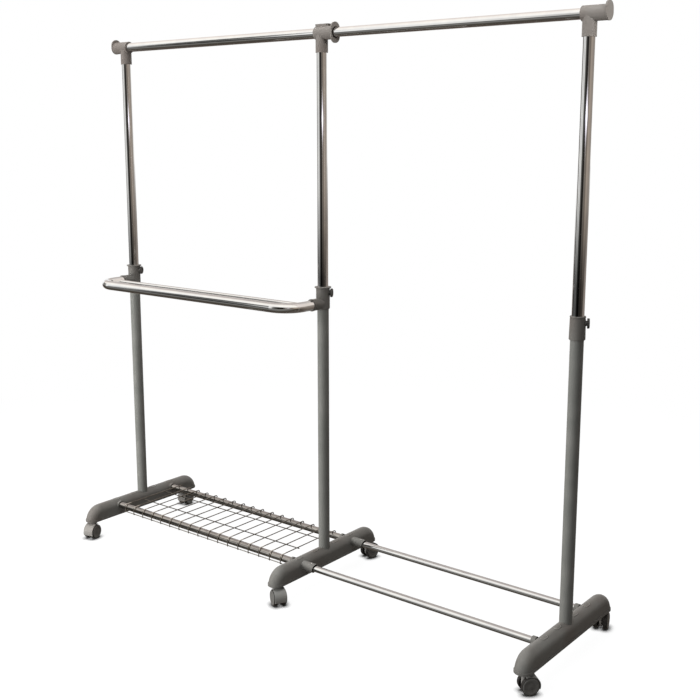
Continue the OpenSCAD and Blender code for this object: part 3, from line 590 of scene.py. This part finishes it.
ring_of_colours(eye_level, (
    (-180, "#777571"), (-161, "#807e7a"), (-155, "#f4f4f2"), (-142, "#f0f0ee"), (-139, "#565654"),
    (-134, "#5c5c5a"), (-131, "#f6f6f4"), (-119, "#dcdbd8"), (-112, "#8a8986"), (-98, "#4f4e4b"),
    (-86, "#252321"), (-64, "#23211e"), (-55, "#78726b"), (-30, "#6f665d"), (-12, "#a3978b"),
    (20, "#938980"), (50, "#8d857d"), (64, "#c9c5c0"), (76, "#ffffff"), (167, "#ffffff"),
    (173, "#777571"),
))
aft = add(tree, "ShaderNodeMath", {"operation": "MULTIPLY", 1: -1.0}, {0: toward.outputs["Y"]})
roll = add(tree, "ShaderNodeMath", {"operation": "ARCTAN2"}, {0: toward.outputs["Z"], 1: aft.outputs[0]})
tilt = add(tree, "ShaderNodeMapRange", {"From Min": -math.pi, "From Max": math.pi},
           {"Value": roll.outputs[0]})
over_and_under = add(tree, "ShaderNodeValToRGB", {}, {"Fac": tilt.outputs["Result"]})
ring_of_colours(over_and_under, (
    (-180, "#8c837c"), (-163, "#80776f"), (-143, "#685f58"), (-123, "#534b45"), (-104, "#484139"),
    (-84, "#423d38"), (-64, "#464139"), (-43, "#615f5c"), (-15, "#9a9a97"), (25, "#f0efec"),
    (42, "#fcfaf6"), (62, "#fffbf5"), (84, "#fdf8f0"), (98, "#efe6df"), (117, "#e6dcd6"),
    (137, "#dfd6cf"), (170, "#ddd4cd"),
))
lean = add(tree, "ShaderNodeMath", {"operation": "MULTIPLY", 1: 0.18}, {0: toward.outputs["Y"]})
up_and_aft = add(tree, "ShaderNodeMath", {"operation": "ADD"},
                 {0: toward.outputs["Z"], 1: lean.outputs[0]})
upward = add(tree, "ShaderNodeMapRange",
             {"interpolation_type": "SMOOTHSTEP", "From Min": 0.26, "From Max": 0.38},
             {"Value": up_and_aft.outputs[0]})
down_and_aft = add(tree, "ShaderNodeMath", {"operation": "SUBTRACT"},
                   {0: lean.outputs[0], 1: toward.outputs["Z"]})
downward = add(tree, "ShaderNodeMapRange",
               {"interpolation_type": "SMOOTHSTEP", "From Min": 0.13, "From Max": 0.24},
               {"Value": down_and_aft.outputs[0]})
below = add(tree, "ShaderNodeMapRange",
            {"interpolation_type": "SMOOTHSTEP", "From Min": -0.13, "From Max": 0.0, "To Min": 0.12},
            {"Value": toward.outputs["Z"]})
dimmed = add(tree, "ShaderNodeVectorMath", {"operation": "SCALE"},
             {0: eye_level.outputs["Color"], "Scale": below.outputs["Result"]})
off_level = add(tree, "ShaderNodeMath", {"operation": "MAXIMUM"},
                {0: upward.outputs["Result"], 1: downward.outputs["Result"]})
around = add(tree, "ShaderNodeMix", {"data_type": "RGBA"},
             {0: off_level.outputs[0], 6: dimmed.outputs["Vector"], 7: over_and_under.outputs["Color"]})
shine = add(tree, "ShaderNodeEmission", {"Strength": 1.10}, {"Color": around.outputs[2]})
add(tree, "ShaderNodeOutputMaterial", {}, {"Surface": shine.outputs[0]})
walls_mesh.materials.append(painted)
room_walls.visible_camera = False
room_walls.visible_diffuse = False
room_walls.visible_transmission = False
room_walls.visible_shadow = False


# ---- Lamps ----
# Soft area lamps: one overhead, one in front on the left, a low strip that lifts the feet, and
# a small one by the right tee. The metal doesn't mirror them.

def softbox(name, place, target, width, depth, power):
    """A rectangular area lamp aimed at a point, unseen by the polished metal."""
    lamp = bpy.data.lights.new(name, "AREA")
    lamp.shape = "RECTANGLE"
    lamp.size = width
    lamp.size_y = depth
    lamp.energy = power
    made = bpy.data.objects.new(name, lamp)
    made.location = place
    made.rotation_euler = (Vector(target) - Vector(place)).to_track_quat("-Z", "Y").to_euler()
    made.visible_glossy = False
    bpy.context.collection.objects.link(made)
    return lamp


softbox("overhead_softbox", (-0.3, -0.3, 3.4), (0.0, 0.0, 0.0), 3.0, 2.2, 64.0)
softbox("front_softbox", (-2.7, -3.6, 1.5), (0.0, 0.0, 0.7), 1.8, 2.0, 82.0)
softbox("low_strip", (-1.2, -1.8, 0.6), (0.0, 0.0, 0.05), 2.2, 0.4, 36.0)
right_lamp = softbox("right_softbox", (2.0, -0.4, 1.75), (0.80, 0.0, 1.53), 0.5, 0.5, 1.3)
right_lamp.spread = math.radians(40)


# ---- Flash glint ----
# A bare flash head beside the camera. It is mirrored as a tapering glint down the polished
# posts and lights nothing.

glint_mesh = bpy.data.meshes.new("flash_glint")
card = bmesh.new()
bmesh.ops.create_grid(card, x_segments=1, y_segments=1, size=1.0)
card.to_mesh(glint_mesh)
card.free()
flash_glint = bpy.data.objects.new("flash_glint", glint_mesh)
bpy.context.collection.objects.link(flash_glint)
flash_glint.location = (2.15, -2.02, 1.35)
flash_glint.rotation_euler = (math.radians(90), 0.0, math.radians(40))
flash_glint.scale = (1.5, 0.22, 1.0)
glow_paint = bpy.data.materials.new("flash_glow")
glow_paint.use_nodes = True
glow_paint.cycles.emission_sampling = "NONE"
tree = glow_paint.node_tree
tree.nodes.clear()
place = add(tree, "ShaderNodeTexCoord")
off_centre = add(tree, "ShaderNodeVectorMath", {"operation": "ABSOLUTE"}, {0: place.outputs["Object"]})
diamond = add(tree, "ShaderNodeVectorMath", {"operation": "DOT_PRODUCT", 1: (1.0, 1.0, 0.0)},
              {0: off_centre.outputs["Vector"]})
core = add(tree, "ShaderNodeMapRange", {"To Min": 1.0, "To Max": 0.0},
           {"Value": diamond.outputs["Value"]})
tapered = add(tree, "ShaderNodeMath", {"operation": "POWER", 1: 2.0}, {0: core.outputs["Result"]})
flare = add(tree, "ShaderNodeEmission", {"Color": (0.93, 0.90, 1.0, 1.0), "Strength": 3.0})
clear = add(tree, "ShaderNodeBsdfTransparent")
edge = add(tree, "ShaderNodeMixShader", {},
           {0: tapered.outputs[0], 1: clear.outputs[0], 2: flare.outputs[0]})
add(tree, "ShaderNodeOutputMaterial", {}, {"Surface": edge.outputs[0]})
glint_mesh.materials.append(glow_paint)
flash_glint.visible_camera = False
flash_glint.visible_diffuse = False
flash_glint.visible_transmission = False
flash_glint.visible_shadow = False


# ---- Camera ----
# A long lens at chest height in front of the rack's right half, tilted down a little, so that
# the feet, the shelf and the rails all show.

tilted_down = 10.6
turned_left = 38.3
camera = bpy.data.cameras.new("studio_camera")
camera.sensor_width = 36.0
camera.lens = 54.25
camera.shift_y = -0.0286
viewpoint = bpy.data.objects.new("studio_camera", camera)
viewpoint.location = (1.857, -2.217, 1.276)
viewpoint.rotation_euler = (math.radians(90 - tilted_down), 0.0, math.radians(turned_left))
bpy.context.collection.objects.link(viewpoint)
bpy.context.scene.camera = viewpoint
bpy.context.scene.view_settings.view_transform = "Standard"
